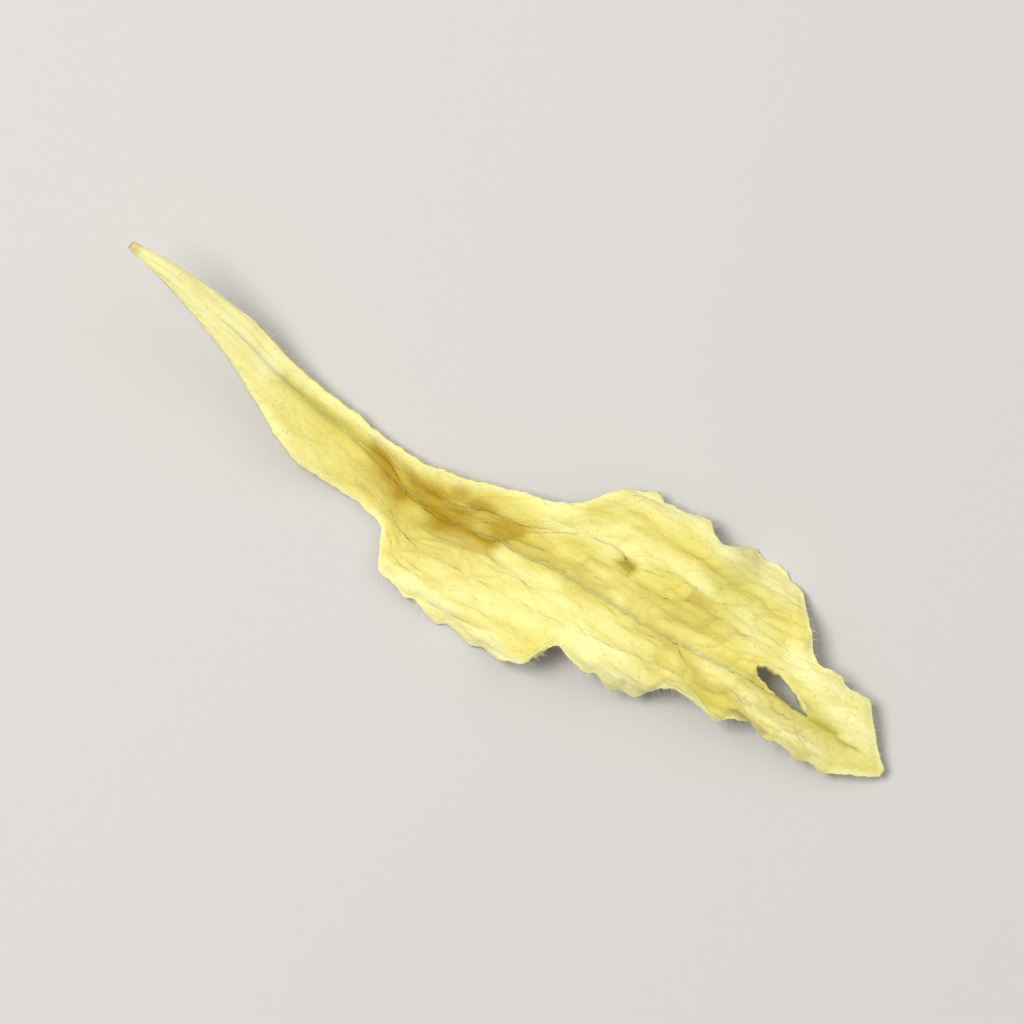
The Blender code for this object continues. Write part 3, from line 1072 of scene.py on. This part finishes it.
@dataclass
class Hairs:
    """The short pale hairs of the margins, the veins and the stalk, as one piece."""

    leaf: bpy.types.Object
    name: str = "leaf_hairs"
    count: int = 3200
    shortest: float = 0.09
    longest: float = 0.24
    slimness: float = 0.020
    bends: tuple[Place, ...] = ((0.05, 0.35), (0.16, 0.33), (0.24, 0.22))
    narrowing: float = 0.75
    everywhere: float = 0.3
    on_margin: float = 4.0
    on_veins: float = 0.6
    lowest_root: float = 0.2
    highest_root: float = 3.06
    root_depth: float = 0.01
    lean: tuple[Place, ...] = ((0.45, 0.30), (0, 0.35), (0, 0.25))
    turn: tuple[Place, ...] = ((0, 0.5), (0, 0.3))
    seed: int = 12
    hairs: bpy.types.Object = field(init=False)

    def build(self) -> None:
        """Model one hair and set copies of it on the leaf."""
        points, faces = self.one_hair()
        chance = random.Random(self.seed)
        roots, normals, weights = self.roots()
        picked = chance.choices(range(len(roots)), weights=weights, k=self.count)
        all_points, all_faces = [], []
        for index in picked:
            turned = self.place_of(roots[index], normals[index], chance)
            start = len(all_points) * len(points)
            all_points.append(points @ np.array(turned.to_3x3()).T + np.array(turned.translation))
            all_faces.extend([start + corner for corner in face] for face in faces)
        mesh = bpy.data.meshes.new(self.name)
        mesh.from_pydata(np.concatenate(all_points), [], all_faces)
        mesh.shade_smooth()
        self.hairs = bpy.data.objects.new(self.name, mesh)
        bpy.context.scene.collection.objects.link(self.hairs)

    def one_hair(self) -> tuple[Array, list[list[int]]]:
        """Model a hair of about unit length: a slim three-sided spike that bends over.

        Returns:
            Its points and its faces.
        """
        bpy.ops.object.select_all(action="DESELECT")
        bpy.ops.mesh.primitive_circle_add(vertices=3, radius=self.slimness, fill_type="NGON")
        spike = bpy.context.object
        bpy.ops.object.mode_set(mode="EDIT")
        bpy.ops.mesh.select_all(action="SELECT")
        forward, height = 0.0, 0.0
        for step_forward, step_up in self.bends:
            forward += step_forward
            height += step_up
            bpy.ops.mesh.extrude_region_move(TRANSFORM_OT_translate={"value": (step_forward, 0, step_up)})
            bpy.ops.transform.resize(value=3 * (self.narrowing,), center_override=(forward, 0, height))
        bpy.ops.mesh.merge(type="CENTER")
        bpy.ops.mesh.select_all(action="SELECT")
        bpy.ops.mesh.normals_make_consistent(inside=False)
        bpy.ops.object.mode_set(mode="OBJECT")
        points = read_all(spike.data.vertices, "co", float)
        faces = [list(polygon.vertices) for polygon in spike.data.polygons]
        bpy.data.objects.remove(spike, do_unlink=True)
        return points, faces

    def roots(self) -> tuple[Array, Array, Array]:
        """List where hairs may grow.

        Returns:
            The leaf's points, the way out of the tissue at each, and how likely a hair grows there.
        """
        mesh = self.leaf.data
        points = read_all(mesh.vertices, "co")
        normals = read_all(mesh.vertex_normals, "vector")
        margin = read_all(mesh.attributes["margin"].data, "value")
        vein = read_all(mesh.attributes["vein"].data, "value")
        counts = read_all(mesh.polygons, "loop_total", int)
        shares = np.repeat(read_all(mesh.polygons, "area") / counts, counts)
        areas = np.bincount(read_all(mesh.loops, "vertex_index", int), shares, len(points))
        wanted = self.everywhere + self.on_margin * margin**3 + self.on_veins * vein
        free = (points[:, 2] > self.lowest_root * MM) & (points[:, 2] < self.highest_root * MM)
        return points, normals, wanted * free * areas

    def place_of(self, root: Array, normal: Array, chance: random.Random) -> Matrix:
        """Turn and size a hair for one root.

        Args:
            root: Where the hair grows.
            normal: The way out of the tissue.
            chance: What draws the hair's length and lean.

        Returns:
            The hair's place.
        """
        length = chance.uniform(self.shortest, self.longest) * MM
        lean = Vector([chance.gauss(*limits) for limits in self.lean])
        up = (Vector(normal) + lean).normalized()
        forward = Vector((1, *(chance.gauss(*limits) for limits in self.turn)))
        forward = (forward - forward.dot(up) * up).normalized()
        across = up.cross(forward)
        turned = Matrix((forward, across, up)).transposed().to_4x4()
        sized = turned @ Matrix.Scale(length, 4)
        sized.translation = Vector(root) - up * self.root_depth * MM
        return sized

    def dress(self) -> None:
        """Give the hairs their finish and let them move with the leaf."""
        self.hairs.data.materials.append(HairFinish().material())
        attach(self.hairs, "root")


@dataclass(frozen=True)
class SoftLight:
    """One square light that faces the leaf: the way to it, its distance, size, power and colour."""

    name: str
    way: Triple
    distance: float
    size: float
    power: float
    colour: Triple

    def hang(self) -> None:
        """Hang the light."""
        light = bpy.data.lights.new(self.name, "AREA")
        light.size = self.size * MM
        light.energy = self.power
        light.color = self.colour
        lamp = bpy.data.objects.new(self.name, light)
        towards = Vector(self.way).normalized()
        lamp.location = towards * self.distance * MM
        lamp.rotation_euler = towards.to_track_quat("Z", "Y").to_euler()
        bpy.context.scene.collection.objects.link(lamp)


@dataclass(frozen=True)
class Studio:
    """The floor, a soft key light, a wide fill, a pale sky and the camera."""

    lights: tuple[SoftLight, ...] = (
        SoftLight("key_light", (-0.42, -0.12, 1.0), 160.0, 70.0, 0.22, (1.0, 0.98, 0.95)),
        SoftLight("fill_light", (0.5, 0.9, 1.2), 220.0, 200.0, 0.13, (0.98, 0.99, 1.0)),
    )
    sky_colour: Colour = (1.0, 0.99, 0.96, 1.0)
    sky_strength: float = 0.30
    floor_size: float = 2000.0
    floor_colour: Colour = (0.60, 0.59, 0.575, 1.0)
    floor_roughness: float = 0.8
    view_middle: Triple = (0.08, 0.25, 0.9)
    frame_width: float = 22.5
    roll: float = 34.9
    elevation: float = 88.0
    distance: float = 160.0
    nearest: float = 1.0

    def build(self) -> None:
        """Set the whole studio up."""
        self.lay_floor()
        for light in self.lights:
            light.hang()
        self.light_sky()
        self.set_camera()

    def lay_floor(self) -> None:
        """Lay a pale floor under the leaf's lowest point."""
        bpy.ops.object.select_all(action="DESELECT")
        bpy.ops.mesh.primitive_plane_add(size=self.floor_size * MM)
        floor = bpy.context.object
        floor.name = "floor"
        made, shader = new_material("pale_floor")
        fill(shader, {"Base Color": self.floor_colour, "Roughness": self.floor_roughness})
        floor.data.materials.append(made)

    def light_sky(self) -> None:
        """Fill the room with a pale sky."""
        world = bpy.data.worlds.new("pale_sky")
        bpy.context.scene.world = world
        world.use_nodes = True
        fill(world.node_tree.nodes["Background"], {"Color": self.sky_colour, "Strength": self.sky_strength})

    def set_camera(self) -> None:
        """Aim the camera down on the leaf, turned so that its tip points to the lower right."""
        roll = Matrix.Rotation(math.radians(self.roll), 4, "Z")
        tilt = Matrix.Rotation(math.radians(90.0 - self.elevation), 4, "X")
        middle = Matrix.Translation(Vector(self.view_middle) * MM)
        back = Matrix.Translation((0, 0, self.distance * MM))
        camera = bpy.data.cameras.new("camera")
        camera.lens = camera.sensor_width * self.distance / self.frame_width
        camera.clip_start = self.nearest * MM
        holder = bpy.data.objects.new("camera", camera)
        holder.matrix_world = middle @ roll @ tilt @ back
        bpy.context.scene.collection.objects.link(holder)
        bpy.context.scene.camera = holder


def main() -> None:
    """Build the leaf, its hairs and the studio, and note the sizes."""
    logging.basicConfig(level=logging.INFO)
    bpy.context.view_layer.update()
    form = LeafForm()
    sheet = SheetGrid(form, Tear())
    blade = Blade(form, sheet, Tissue(form, sheet, MARKS))
    blade.build()
    blade.dress()
    coat = Hairs(blade.leaf)
    coat.build()
    coat.dress()
    for piece in (blade.leaf, coat.hairs):
        LOG.info("%s has %d faces", piece.name, len(piece.data.polygons))
    Studio().build()
    bpy.context.scene.view_settings.view_transform = "Standard"


if __name__ == "__main__":
    main()
